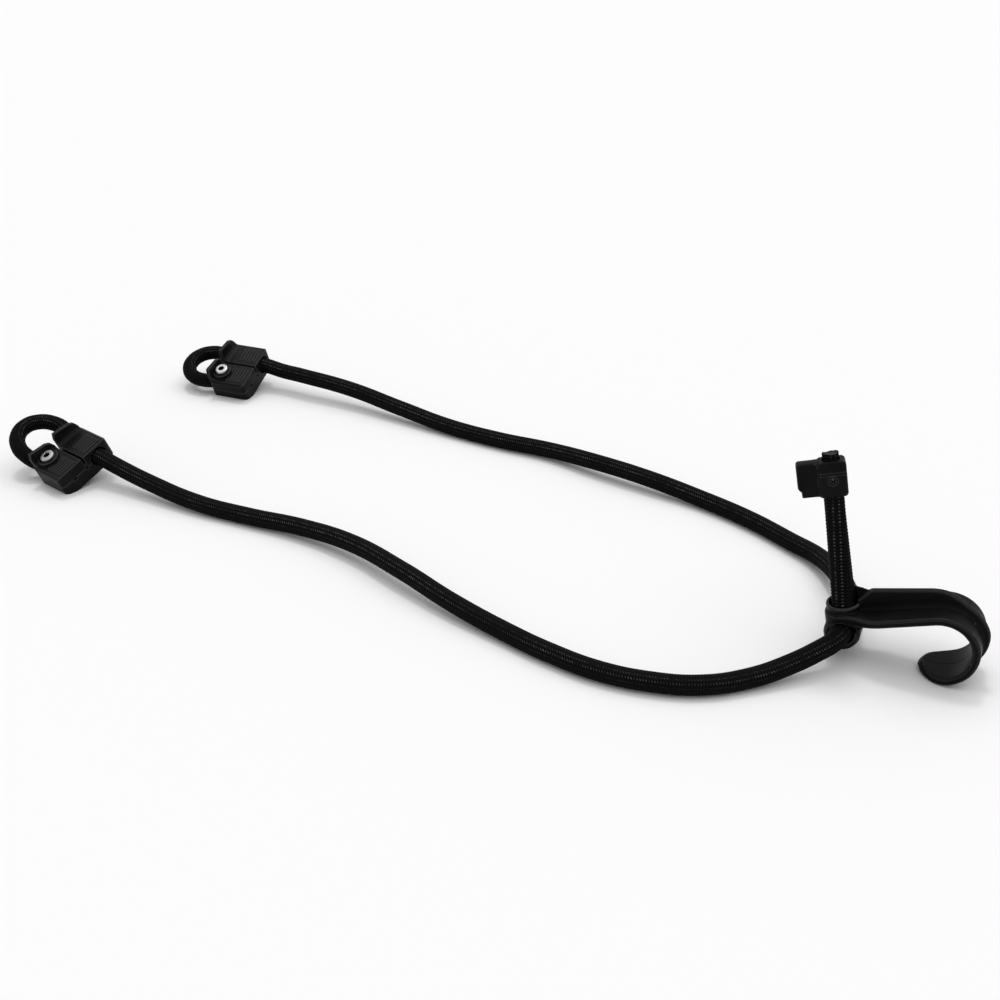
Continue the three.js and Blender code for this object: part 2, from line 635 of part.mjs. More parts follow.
// Upright strand: round where it comes out of the cross bore, then squeezed beside its twin
function upright(side, shrink) {
  const rows = [];
  const start = PAIR_PITCH / 2 + TURN_R;
  for (let i = 0; i <= 5; i++) {
    const turn = (i / 5) * (Math.PI / 2);
    const share = i / 5;
    const halfWidth = THREE.MathUtils.lerp(HELD_R, UPRIGHT_FOOT_WIDTH / 2, share) - shrink;
    const halfDepth = THREE.MathUtils.lerp(HELD_R, UPRIGHT_DEPTH / 2, share) - shrink;
    const y = start - TURN_R * Math.sin(turn);
    rows.push(ovalRing(y, TURN_R * (1 - Math.cos(turn)), Math.PI / 2 - turn, halfWidth, halfDepth, side, 0));
  }
  const top = STOP_Z + UPRIGHT_ENTRY;
  const depth = UPRIGHT_DEPTH / 2 - shrink;
  for (let i = 1; i <= 6; i++) {
    const z = THREE.MathUtils.lerp(TURN_R, STOP_Z, i / 6);
    const width = THREE.MathUtils.lerp(UPRIGHT_FOOT_WIDTH, UPRIGHT_TOP_WIDTH, i / 6);
    rows.push(ovalRing(PAIR_PITCH / 2, z, 0, width / 2 - shrink, depth, side, (STEM_TWIST * i) / 6));
  }
  rows.push(ovalRing(PAIR_PITCH / 2, top, 0, UPRIGHT_TOP_WIDTH / 2 - shrink, depth, side, STEM_TWIST));
  return rows;
}

function uprightCore(side) {
  return solid(loft(upright(side, SHEATH_WALL + GAP)));
}

function uprightSheath(side) {
  const rows = upright(side, SHEATH_WALL);
  const reach = GAP;
  const first = rows[0].map((p) => p.clone().setY(p.y + side * reach));
  const last = rows[rows.length - 1].map((p) => p.clone().setZ(p.z + reach));
  const bore = loft([first, ...rows, last]);
  return solid(loft(upright(side, 0))).subtract(solid(bore));
}

// Cut end of a cord, squeezed in the stop and pierced by its screw
const STOP_MID = STOP_Z + STOP_HEIGHT / 2;

function stopRim(side) {
  return STOP_Z + STOP_HEIGHT - (side > 0 ? COVER_DROP : 0);
}

function cordEnd(side) {
  const rim = stopRim(side);
  const held = [UPRIGHT_TOP_WIDTH / 2, UPRIGHT_DEPTH / 2];
  const cut = [STUB_WIDTH / 2, STUB_DEPTH / 2];
  const rows = [
    [STOP_Z + UPRIGHT_ENTRY + GAP, ...held], [rim - STUB_RISE, ...held],
    [rim, ...cut], [rim + STUB_RISE, ...cut],
  ];
  const body = loft(rows.map(([z, width, depth]) => ovalRing(PAIR_PITCH / 2, z, 0, width, depth, side, 0)));
  const pierced = barY(STOP_SCREW_R + GAP, -SPAN, SPAN, 16).translate(0, 0, STOP_MID);
  return solid(body).subtract(solid(pierced));
}

// Channel for one cord, open to the parting plane and drawn in to the cut end at its rim
function stopChannel(side) {
  const rim = stopRim(side);
  const held = [UPRIGHT_TOP_WIDTH / 2 + GAP, UPRIGHT_DEPTH / 2 + GAP];
  const cut = [STUB_WIDTH / 2 + GAP, STUB_DEPTH / 2 + GAP];
  const rows = [
    [STOP_Z - STOP_HEIGHT, ...held], [rim - STUB_RISE, ...held], [rim, ...cut], [rim + STOP_HEIGHT, ...cut],
  ];
  const corners = [[1, 0], [1, 1], [-1, 1], [-1, 0]];
  const inner = rows.map(([z, width]) => corners.map(
    ([x, y]) => new THREE.Vector3(side * x * width, (side * y * PAIR_PITCH) / 2, z),
  ));
  const outer = rows.map(([z, width, depth]) => ovalRing(PAIR_PITCH / 2, z, 0, width, depth, side, 0));
  return solid(loft(outer)).add(solid(loft(inner)));
}

// Front half of the stop clamp, with its pull tab
function stopBody() {
  const half = STOP_WIDTH / 2;
  const plan = roundedRect(-half, -STOP_FRONT, half, STOP_FRONT, STOP_CORNER);
  const front = solid(box(-SPAN, -SPAN, -SPAN, SPAN, -GAP / 2, SPAN));
  const block = solid(upZ(plan, STOP_Z, STOP_Z + STOP_HEIGHT)).intersect(front);
  const c = STOP_CHAMFER;
  const top = STOP_Z + STOP_HEIGHT;
  const chamfer = outline([
    [-STOP_FRONT - c, top - c], [-STOP_FRONT + c / 2, top + c / 2], [-STOP_FRONT - c, top + c],
  ]);
  const left = -half - TAB_LENGTH;
  const tabSide = outline([
    [-half + STOP_CORNER, STOP_Z], [-half + STOP_CORNER, top], [left, top], [left, STOP_Z + TAB_STEP_HEIGHT],
    [left + TAB_STEP, STOP_Z + TAB_STEP_HEIGHT - TAB_STEP], [left + TAB_STEP, STOP_Z],
  ]);
  const tabFront = -STOP_FRONT + TAB_BACK;
  const tab = alongY(tabSide, tabFront, Math.min(tabFront + TAB_THICK, -GAP / 2));
  const shank = barY(STOP_SCREW_R + GAP, -SPAN, SPAN, 16).translate(0, 0, STOP_MID);
  const recess = barY(STOP_HEAD_R + GAP, -SPAN, -STOP_FRONT + STOP_RECESS + STOP_HEAD_H + GAP, 20);
  return block
    .subtract(solid(alongX(chamfer, -STOP_WIDTH, STOP_WIDTH)))
    .add(solid(tab))
    .subtract(stopChannel(-1))
    .subtract(solid(shank))
    .subtract(solid(recess.translate(0, 0, STOP_MID)));
}

function stopCover() {
  const half = STOP_WIDTH / 2;
  const plan = roundedRect(-half, -STOP_REAR, half, STOP_REAR, STOP_CORNER);
  const rear = solid(box(-SPAN, GAP / 2, -SPAN, SPAN, SPAN, SPAN));
  const block = solid(upZ(plan, STOP_Z, STOP_Z + STOP_HEIGHT - COVER_DROP)).intersect(rear);
  const shank = barY(STOP_SCREW_R + GAP, -SPAN, SPAN, 16).translate(0, 0, STOP_MID);
  const pocket = barY(STOP_NUT_R + GAP, STOP_REAR - STOP_NUT_H - GAP, SPAN, 6).translate(0, 0, STOP_MID);
  return block.subtract(stopChannel(1)).subtract(solid(shank)).subtract(solid(pocket));
}

function stopScrew() {
  const face = -STOP_FRONT + STOP_RECESS;
  const headBack = face + STOP_HEAD_H;
  const profile = [
    [0, face], [STOP_HEAD_R - GAP, face], [STOP_HEAD_R, face + GAP], [STOP_HEAD_R, headBack],
    [STOP_SCREW_R, headBack], [STOP_SCREW_R, STOP_REAR - GAP], [0, STOP_REAR - GAP],
  ];
  const turned = new THREE.LatheGeometry(profile.map(([r, y]) => new THREE.Vector2(r, y)), 20);
  const socket = barY(STOP_HEAD_R / 2, face - STOP_HEAD_H, face + STOP_HEAD_H / 2, 6);
  return solid(turned).subtract(solid(socket)).translate([0, 0, STOP_MID]);
}

function stopNut() {
  const from = STOP_REAR - STOP_NUT_H;
  const hex = barY(STOP_NUT_R, from, STOP_REAR, 6);
  return solid(hex).subtract(solid(barY(STOP_SCREW_R + GAP, -SPAN, SPAN, 16))).translate([0, 0, STOP_MID]);
}

// Short straight end of each free strand, lying in the cross bore on the hook's turning axis
function cordEntry(side) {
  const from = PAIR_PITCH / 2 + TURN_R + GAP;
  const to = from + ENTRY_LENGTH;
  return barY(HELD_R, Math.min(side * from, side * to), Math.max(side * from, side * to), SHEATH_SIDES);
}

const stop = new THREE.Group();
stop.rotation.z = rad(STEM_TWIST);
stop.add(
  piece("stop_body", geometryOf(stopBody()), moulded),
  piece("stop_cover", geometryOf(stopCover()), moulded),
  piece("stop_screw", geometryOf(stopScrew()), stainless),
  piece("stop_nut", geometryOf(stopNut()), stainless),
);
stem.add(stop);
for (const [name, side] of [["front", -1], ["rear", 1]]) {
  stop.add(piece(`${name}_cord_end`, geometryOf(cordEnd(side)), braid));
  stem.add(
    piece(`${name}_cord_entry`, cordEntry(side), braid),
    piece(`${name}_upright_sheath`, geometryOf(uprightSheath(side)), braid),
    piece(`${name}_upright_core`, geometryOf(uprightCore(side)), rubber),
  );
}

// Free strand from inside the clamp's mouth, along the floor, to the mouth of the cross bore
function strand(name, clamp, route, side) {
  const inside = new THREE.Vector3(SEAM_X + GAP, LOBE_Y, CORD_HEIGHT).applyMatrix4(clamp.matrixWorld);
  const mouth = new THREE.Vector3(HALF_LENGTH + GAP, LOBE_Y, CORD_HEIGHT).applyMatrix4(clamp.matrixWorld);
  const reach = PAIR_PITCH / 2 + TURN_R + ENTRY_LENGTH + 2 * GAP;
  const points = [
    inside,
    mouth,
    ...route.map((p) => new THREE.Vector3(...p)),
    new THREE.Vector3(head.x, head.y + side * (reach + CORD_D / 2), head.z),
    new THREE.Vector3(head.x, head.y + side * reach, head.z),
  ];
  const bore = CORD_D / 2 - SHEATH_WALL;
  const core = (bore - GAP) * Math.cos(Math.PI / CORE_SIDES);
  return [
    piece(`${name}_cord_sheath`, tube(points, CORD_D / 2, SHEATH_SIDES, STRAND_STEPS, bore), braid),
    piece(`${name}_cord_core`, tube(points, core, CORE_SIDES, STRAND_STEPS), rubber),
  ];
}

const frontClamp = endClamp("front", FRONT_CLAMP);
const rearClamp = endClamp("rear", REAR_CLAMP);
const bungee = new THREE.Group();
bungee.add(frontClamp, rearClamp, hook, stem);
bungee.add(...strand("front", frontClamp, FRONT_ROUTE, -1), ...strand("rear", rearClamp, REAR_ROUTE, 1));

export default bungee;
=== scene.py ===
import math

import bmesh
import bpy
from mathutils import Matrix, Vector


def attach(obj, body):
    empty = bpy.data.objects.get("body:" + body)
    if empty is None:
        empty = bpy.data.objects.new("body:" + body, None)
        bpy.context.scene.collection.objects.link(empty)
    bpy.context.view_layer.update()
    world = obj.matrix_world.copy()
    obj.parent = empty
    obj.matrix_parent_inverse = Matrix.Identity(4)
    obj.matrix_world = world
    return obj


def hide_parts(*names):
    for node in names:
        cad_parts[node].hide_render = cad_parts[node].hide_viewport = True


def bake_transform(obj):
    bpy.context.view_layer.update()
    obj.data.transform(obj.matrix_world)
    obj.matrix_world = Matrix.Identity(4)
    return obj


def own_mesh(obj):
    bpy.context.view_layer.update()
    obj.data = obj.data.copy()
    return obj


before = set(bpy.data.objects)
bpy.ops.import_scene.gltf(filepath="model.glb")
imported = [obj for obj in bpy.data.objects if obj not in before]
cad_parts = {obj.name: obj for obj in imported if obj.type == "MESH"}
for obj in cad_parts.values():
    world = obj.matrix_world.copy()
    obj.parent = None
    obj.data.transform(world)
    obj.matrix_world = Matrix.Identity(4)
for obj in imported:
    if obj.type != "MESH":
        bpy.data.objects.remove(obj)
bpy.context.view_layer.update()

# Camera.
# It stands beyond the hook's front side and looks back over the cord towards the two end clamps,
# from about 30 degrees above the floor.
EYE = Vector((0.2225, -0.5212, 0.3129))
LOOK_LEFT = math.radians(22.7)
LOOK_DOWN = math.radians(29)
FOCAL_LENGTH = 49.03

gaze = Vector((-math.sin(LOOK_LEFT), math.cos(LOOK_LEFT), -math.tan(LOOK_DOWN)))
camera_data = bpy.data.cameras.new("camera")
camera_data.lens = FOCAL_LENGTH
camera = bpy.data.objects.new("camera", camera_data)
camera.location = EYE
camera.rotation_euler = gaze.to_track_quat("-Z", "Y").to_euler()
bpy.context.scene.collection.objects.link(camera)
bpy.context.scene.camera = camera
bpy.context.scene.view_settings.view_transform = "Standard"

# Free strands.
# Each is 8 mm bungee cord: a black braided polyester sleeve over a bundle of rubber threads.
# It leaves its end clamp, lies along the floor in a loose curve and goes into the side of the hook's head.
MM = 0.001
UP = Vector((0, 0, 1))
CORD_RADIUS = 4 * MM
STITCH = 1.1 * MM
STEPS_PER_STITCH = 4
WALES = 14
STEPS_PER_WALE = 3
LEAN = 0.5
BRAID_RELIEF = 0.05 * MM
CURVE_STEPS = 32
SEAM_WELD = 1e-7
HEAD = Vector((176.512, -60.4, 11.956)) * MM
BORE_END = 7.4 * MM
ROUTE_END = 5.8 * MM
BORE_ROOM = 12 * MM
FRONT_ROUTE = [
    (-182.291, -56.220, 13.048), (-181.048, -56.600, 13.048),
    (-172.5, -57.9, 11.2), (-149.7, -61.2, 7.4), (-120.2, -65, 4.6), (-92.1, -65.9, 4.2),
    (-64.8, -67.1, 5.4), (-35.9, -73, 7), (-4.2, -86.2, 7.8), (23.8, -97.6, 6),
    (49.4, -105.9, 4.4), (73.2, -113, 4.15), (94.6, -116.8, 4.15), (114.1, -115.8, 4.15),
    (132.2, -110.6, 4.15), (148.4, -99.3, 4.3), (160.9, -88.1, 6.6), (170, -79.4, 9.9),
    (174, -74.2, 11.3),
]
REAR_ROUTE = [
    (-167.431, 69.817, 13.048), (-166.131, 69.851, 13.048),
    (-154.2, 69.9, 11.3), (-143.2, 68.8, 11.2), (-110.4, 66.2, 9.6), (-77.2, 60.3, 6.6),
    (-46.5, 54.6, 4.3), (-16.9, 50.7, 4.15), (11.3, 48.8, 4.7), (39.9, 41.5, 6.6),
    (67, 35.6, 6.4), (93.1, 29.9, 4.5), (120.1, 19.4, 4.15), (141.4, 7.1, 4.3),
    (154.9, -2.5, 5.4), (166.2, -18.9, 8.2), (172.7, -32.9, 10),
    (176.2, -46.4, 11.8),
]


def even_line(points, step):
    """Places at an even spacing along a smooth curve through the points."""
    curve = bpy.data.curves.new("route", "CURVE")
    curve.dimensions = "3D"
    curve.resolution_u = CURVE_STEPS
    spline = curve.splines.new("BEZIER")
    spline.bezier_points.add(len(points) - 1)
    for knot, point in zip(spline.bezier_points, points):
        knot.co = point
        knot.handle_left_type = "AUTO"
        knot.handle_right_type = "AUTO"
    rail = bpy.data.objects.new("route", curve)
    bpy.context.scene.collection.objects.link(rail)
    bpy.context.view_layer.update()
    drawn = rail.evaluated_get(bpy.context.evaluated_depsgraph_get())
    fine = [vert.co.copy() for vert in drawn.to_mesh().vertices]
    bpy.data.objects.remove(rail)
    travelled = [0.0]
    for before, after in zip(fine, fine[1:]):
        travelled.append(travelled[-1] + (after - before).length)
    count = max(2, round(travelled[-1] / step))
    line = []
    at = 0
    for i in range(count + 1):
        want = travelled[-1] * i / count
        while at < len(fine) - 2 and travelled[at + 1] < want:
            at += 1
        share = (want - travelled[at]) / (travelled[at + 1] - travelled[at])
        line.append(fine[at].lerp(fine[at + 1], min(1, share)))
    return line


def line_length(line):
    """Length of a line of places, end to end."""
    return sum((after - before).length for before, after in zip(line, line[1:]))


def link(name, bm):
    """Finished mesh as an object of the scene."""
    mesh = bpy.data.meshes.new(name)
    bm.to_mesh(mesh)
    bm.free()
    piece = bpy.data.objects.new(name, mesh)
    bpy.context.scene.collection.objects.link(piece)
    return piece


def round_section(radius):
    """Half width and half depth of a round cord, the same all along it."""
    return lambda share: (radius, radius)


def braided_sleeve(name, line, section, top, relief, wales=WALES, stitch=STITCH, drift=0):
    """Closed sleeve along a line: section gives the half width and half depth at a share of the length.

    Drift is how many wales the rows move round from the far end to the start.
    """
    rings = len(line) - 1
    directions = [(line[min(i + 1, rings)] - line[max(i - 1, 0)]).normalized() for i in range(rings + 1)]
    stitches = line_length(line) / stitch
    bm = bmesh.new()
    uv = bm.loops.layers.uv.new("braid")
    bmesh.ops.create_grid(bm, x_segments=wales * STEPS_PER_WALE, y_segments=rings, size=1, calc_uvs=True)
    for vert in bm.verts:
        turn = (vert.co.x + 1) / 2
        share = (vert.co.y + 1) / 2
        i = round(share * rings)
        along = directions[i]
        up = (top - along * top.dot(along)).normalized()
        side = along.cross(up)
        half_width, half_depth = section(share)
        slant = LEAN * (1 - abs((turn * wales + drift * (1 - share)) % 2 - 1))
        crown = abs(math.sin(math.pi * (share * stitches + slant)))
        lift = relief * (crown - 1)
        angle = 2 * math.pi * turn
        sideways = side * (half_width + lift) * math.sin(angle)
        upwards = up * (half_depth + lift) * math.cos(angle)
        vert.co = line[i] + sideways + upwards
    for face in bm.faces:
        face.smooth = True
        for loop in face.loops:
            loop[uv].uv.x = loop[uv].uv.x * wales + drift * (1 - loop[uv].uv.y)
            loop[uv].uv.y *= stitches
    bmesh.ops.remove_doubles(bm, verts=bm.verts, dist=SEAM_WELD)
    bmesh.ops.holes_fill(bm, edges=[edge for edge in bm.edges if edge.is_boundary], sides=0)
    bmesh.ops.recalc_face_normals(bm, faces=bm.faces)
    return link(name, bm)


def cut_in_bore(strand, hand):
    """The strand's end in the hook's head, cut square across the bore."""
    bm = bmesh.new()
    bm.from_mesh(strand.data)
    faces = [face for face in bm.faces if face.calc_center_median().x > HEAD.x - BORE_ROOM]
    edges = dict.fromkeys(edge for face in faces for edge in face.edges)
    verts = dict.fromkeys(vert for face in faces for vert in face.verts)
    bmesh.ops.bisect_plane(
        bm, geom=[*verts, *edges, *faces], clear_outer=True,
        plane_co=HEAD + Vector((0, hand * BORE_END, 0)), plane_no=(0, -hand, 0),
    )
    bmesh.ops.holes_fill(bm, edges=[edge for edge in bm.edges if edge.is_boundary], sides=0)
    bmesh.ops.recalc_face_normals(bm, faces=bm.faces)
    bm.to_mesh(strand.data)
    bm.free()


def shader(name):
    """New material with its shader node, and a helper that adds nodes to it."""
    material = bpy.data.materials.new(name)
    material.use_nodes = True
    nodes = material.node_tree.nodes
    links = material.node_tree.links
    surface = nodes["Principled BSDF"]

    def add(kind, inputs=None, **settings):
        node = nodes.new("ShaderNode" + kind)
        for key, value in settings.items():
            setattr(node, key, value)
        for key, value in (inputs or {}).items():
            if isinstance(value, bpy.types.NodeSocket):
                links.new(value, node.inputs[key])
            else:
                node.inputs[key].default_value = value
        return node

    return material, surface, add, links


def calc(add, operation, *values):
    """Result of one sum on numbers of the surface."""
    return add("Math", dict(enumerate(values)), operation=operation).outputs[0]


def faded(add, value, low, high, start=0.0, end=1.0):
    """A number that goes from start to end as the value rises from low to high."""
    span = {"Value": value, "From Min": low, "From Max": high, "To Min": start, "To Max": end}
    return add("MapRange", span).outputs[0]


def clouded(add, coords, scale, detail):
    """Soft random number over the piece, with the scale in clouds per metre."""
    clouds = {"Vector": coords.outputs["Object"], "Scale": scale, "Detail": detail}
    return add("TexNoise", clouds).outputs["Fac"]


def two_toned(add, value, places, tones):
    """Colour that goes from the first tone to the second as the value passes the two places."""
    ramp = add("ValToRGB", {0: value})
    for element, place, tone in zip(ramp.color_ramp.elements, places, tones):
        element.position = place
        element.color = (*tone, 1)
    return ramp.outputs["Color"]


TRACER_SET = 7.0
FUZZ_SCALE = 2600.0
WEAR_SCALE = 70.0
SPECK_SCALE = 520.0
YARN_HOLLOW_SHADE_TONES = ((0.0012, 0.0012, 0.0013), (0.0052, 0.0052, 0.0054))
TRACER_PALE = (0.3, 0.3, 0.295, 1)
WORN_SPAN = (0.36, 0.62, 0.3)
SPECK_SPAN = (0.42, 0.62, 0.25)
BRAID_SHINE = 0.025


def braid_finish(name, rows, dash_width, dash_reach, dash_lean):
    """Black braid: fine slanted yarns between the wales and a row of short stitches along each wale.

    Rows gives, for places in a set of seven wales, how pale that wale's stitches are.
    A dash is one stitch: its half width, half length and lean, in wales and stitches.
    """
    material, surface, add, links = shader(name)
    coords = add("TexCoord")
    split = add("SeparateXYZ", {0: coords.outputs["UV"]})
    around, along = split.outputs["X"], split.outputs["Y"]
    nearest = calc(add, "ROUND", around)
    off_wale = calc(add, "SUBTRACT", around, nearest)
    slant = calc(add, "PINGPONG", around, 1.0)
    phase = calc(add, "MULTIPLY", calc(add, "MULTIPLY_ADD", slant, LEAN, along), math.pi)
    crown = calc(add, "ABSOLUTE", calc(add, "SINE", phase))
    in_stitch = calc(add, "ADD", calc(add, "FRACT", along), -0.5)
    off_dash = calc(add, "ABSOLUTE", calc(add, "MULTIPLY_ADD", in_stitch, -dash_lean, off_wale))
    width = faded(add, off_dash, 0.5 * dash_width, 1.3 * dash_width, 1.0, 0.0)
    reach = faded(add, calc(add, "ABSOLUTE", in_stitch), 0.4 * dash_reach, dash_reach, 1.0, 0.0)
    dash = calc(add, "MULTIPLY", width, reach)
    place = calc(add, "DIVIDE", calc(add, "FLOORED_MODULO", nearest, TRACER_SET), TRACER_SET)
    paleness = add("ValToRGB", {0: place})
    ramp = paleness.color_ramp
    ramp.interpolation = "CONSTANT"
    while len(ramp.elements) < len(rows):
        ramp.elements.new(0.5)
    for element, (start, tone) in zip(ramp.elements, rows):
        element.position = start
        element.color = (tone, tone, tone, 1)
    wear_and_highlight = faded(add, clouded(add, coords, WEAR_SCALE, 6.0), *WORN_SPAN)
    speck = faded(add, clouded(add, coords, SPECK_SCALE, 1.0), *SPECK_SPAN)
    pale = calc(add, "MULTIPLY", calc(add, "MULTIPLY", paleness.outputs["Color"], wear_and_highlight), speck)
    pale = calc(add, "MULTIPLY", pale, dash)
    # Painted shade: the hollows between the yarns' crowns are coloured darker than the crowns.
    shade = two_toned(add, crown, (0.2, 0.95), YARN_HOLLOW_SHADE_TONES)
    colour = add("Mix", {"Factor": pale, 6: shade, 7: TRACER_PALE}, data_type="RGBA")
    links.new(colour.outputs[2], surface.inputs["Base Color"])
    fuzz = clouded(add, coords, FUZZ_SCALE, 3.0)
    links.new(faded(add, fuzz, 0.0, 1.0, 0.5, 0.75), surface.inputs["Roughness"])
    height = calc(add, "MULTIPLY_ADD", dash, 1.2, calc(add, "MULTIPLY_ADD", fuzz, 0.5, crown))
    bump = add("Bump", {"Strength": 0.6, "Distance": 0.1 * MM, "Height": height})
    links.new(bump.outputs["Normal"], surface.inputs["Normal"])
    surface.inputs["Specular IOR Level"].default_value = BRAID_SHINE
    return material


TRACERS = [(0, 0.02), (0.1, 0.34), (0.25, 0.5), (0.4, 0.12), (0.5, 0.02)]
black_braid = braid_finish("black_braid", TRACERS, dash_width=0.13, dash_reach=0.32, dash_lean=0.5)

for side, route, hand in (("front", FRONT_ROUTE, -1), ("rear", REAR_ROUTE, 1)):
    knots = [Vector(point) * MM for point in route] + [HEAD + Vector((0, hand * ROUTE_END, 0))]
    line = even_line(knots, STITCH / STEPS_PER_STITCH)
    strand = braided_sleeve(side + "_strand", line, round_section(CORD_RADIUS), UP, BRAID_RELIEF)
    cut_in_bore(strand, hand)
    strand.data.materials.append(black_braid)
    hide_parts(side + "_cord_sheath", side + "_cord_core", side + "_cord_entry")
    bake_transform(strand)

# End clamps.
# Each is a moulded nylon base and cap that close round two cords side by side, with a thumb lip on
# each lobe. A screw in a brass insert presses the loop's tail into its blind channel.
GRAIN_SCALE = 3200.0
HAZE_SCALE = 90.0
PARTING_LINE = (0.08 * MM, 0.24 * MM)
PARTING_TONE = (0.0004, 0.0004, 0.0004, 1)
EDGE_HIGHLIGHT_SPAN = (0.508, 0.53)
NO_PARTING = 1.0


def satin_finish(name, tone, shine, edge_highlight_tone, parting=NO_PARTING):
    """Satin black moulding: fine spark-eroded grain, cloudy gloss and convex edges painted a little paler
    as a painted highlight.

    Parting is where the mould's two halves met, across the cord, and leaves a fine dark line there.
    Far off the piece, it leaves none.
    """
    material, surface, add, links = shader(name)
    coords = add("TexCoord")
    grain = clouded(add, coords, GRAIN_SCALE, 2.0)
    haze = clouded(add, coords, HAZE_SCALE, 5.0)
    tones = ((0.8 * tone, 0.8 * tone, 0.8 * tone), (1.3 * tone, 1.3 * tone, 1.34 * tone))
    shade = two_toned(add, haze, (0.35, 0.7), tones)
    across = add("SeparateXYZ", {0: coords.outputs["Object"]}).outputs["Y"]
    off_line = faded(add, calc(add, "ABSOLUTE", calc(add, "SUBTRACT", across, parting)), *PARTING_LINE)
    lined = add("Mix", {"Factor": off_line, 6: PARTING_TONE, 7: shade}, data_type="RGBA").outputs[2]
    # Painted highlight: convex edges, found by pointiness, take a paler base colour.
    edge_highlight = faded(add, add("NewGeometry").outputs["Pointiness"], *EDGE_HIGHLIGHT_SPAN)
    pale = (edge_highlight_tone, edge_highlight_tone, edge_highlight_tone, 1)
    wear_and_highlight = add("Mix", {"Factor": edge_highlight, 6: lined, 7: pale}, data_type="RGBA")
    links.new(wear_and_highlight.outputs[2], surface.inputs["Base Color"])
    gloss = faded(add, haze, 0.0, 1.0, 0.28, 0.42)
    links.new(faded(add, off_line, 0.0, 1.0, 0.95, gloss), surface.inputs["Roughness"])
    relief = calc(add, "MULTIPLY_ADD", off_line, 2.0, grain)
    bump = add("Bump", {"Strength": 0.25, "Distance": 0.06 * MM, "Height": relief})
    links.new(bump.outputs["Normal"], surface.inputs["Normal"])
    surface.inputs["Specular IOR Level"].default_value = shine
    return material


NODE_WELD = 1e-6
# The clamps' convex edges take a painted highlight in their base colour.
clamp_black = satin_finish("clamp_black", tone=0.0055, shine=0.065, edge_highlight_tone=0.032)


def moulded_copy(name, node, voxel, easing, swell):
    """The node's own form with a moulding's eased edges and small fillets, swelled to close its seams."""
    bm = bmesh.new()
    bm.from_mesh(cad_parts[node].data)
    bmesh.ops.remove_doubles(bm, verts=bm.verts, dist=NODE_WELD)
    moulding = link(name, bm)
    skin = moulding.modifiers.new("skin", "REMESH")
    skin.mode = "VOXEL"
    skin.voxel_size = voxel
    skin.use_smooth_shade = True
    ease = moulding.modifiers.new("ease", "SMOOTH")
    ease.factor = 0.5
    ease.iterations = easing
    fill = moulding.modifiers.new("fill", "DISPLACE")
    fill.strength = swell
    fill.mid_level = 0
    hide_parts(node)
    return moulding


CLAMP_VOXEL = 0.2 * MM
CLAMP_EASING = 3
SEAM_FILL = 0.1 * MM
BOSS_TOP = 14.8
LIP_DRAW = 2.6
HELD_RADIUS = 3.8 * MM
LOBE = 8
CORD_LEVEL = 6.8
HALF_LENGTH = 10.5
TAIL_END = 7.7
STRAND_END = 9.2
LOOP_RADIUS = 11.6
LOOP_SWEEP = math.radians(125)
LOOP_STEPS = 8
CLAMP_ROLL = math.radians(22)
FOOT_HALF_WIDTH = 10
CLAMP_RISE = FOOT_HALF_WIDTH * math.sin(CLAMP_ROLL)
CLAMPS = {
    "front": {"place": (-192.8, -58.1), "heading": -17, "reach": 20.6, "lift": 26, "roll": -8},
    "rear": {"place": (-176.8, 64.7), "heading": 1.5, "reach": 18.8, "lift": 5, "roll": -5},
}
TOOL_MARK_SCALE = 2400.0
TARNISH_SCALE = 420.0


def metal_finish(name, tone, dull):
    """Turned metal: fine tool marks, a little cloudy."""
    material, surface, add, links = shader(name)
    coords = add("TexCoord")
    marks = clouded(add, coords, TOOL_MARK_SCALE, 4.0)
    haze = clouded(add, coords, TARNISH_SCALE, 4.0)
    shade = two_toned(add, haze, (0.3, 0.75), ([0.75 * part for part in tone], tone))
    links.new(shade, surface.inputs["Base Color"])
    links.new(faded(add, haze, 0.0, 1.0, dull - 0.08, dull + 0.1), surface.inputs["Roughness"])
    bump = add("Bump", {"Strength": 0.2, "Distance": 0.04 * MM, "Height": marks})
    links.new(bump.outputs["Normal"], surface.inputs["Normal"])
    surface.inputs["Metallic"].default_value = 1
    return material


bright_steel = metal_finish("bright_steel", tone=(0.42, 0.41, 0.4), dull=0.3)
black_steel = metal_finish("black_steel", tone=(0.055, 0.055, 0.056), dull=0.25)
turned_brass = metal_finish("turned_brass", tone=(0.62, 0.44, 0.18), dull=0.4)
BOSS_X = -5.2
CLAMP_SOCKET_SHADE = (1.6, 13.8)
CLAMP_THREAD = [(1.95 - 0.3 * (i % 2), 9.9 + 0.35 * i, 0) for i in range(15)]
CLAMP_SCREW = [
    (1.2, 9.3, 0), *CLAMP_THREAD,
    (1.95, 14.82, 0), (3.35, 14.82, 0), (3.5, 15, 0), (3.5, 15.75, 0), (3.4, 16.1, 0),
    (3.15, 16.32, 0), (2.8, 16.4, 0), (1.75, 16.4, 0), (1.6, 16.3, 6), (1.5, 14.4, 6), (0.8, 13.9, 0),
]
TURNED_SIDES = 48
TURNED_EDGE = 0.08 * MM


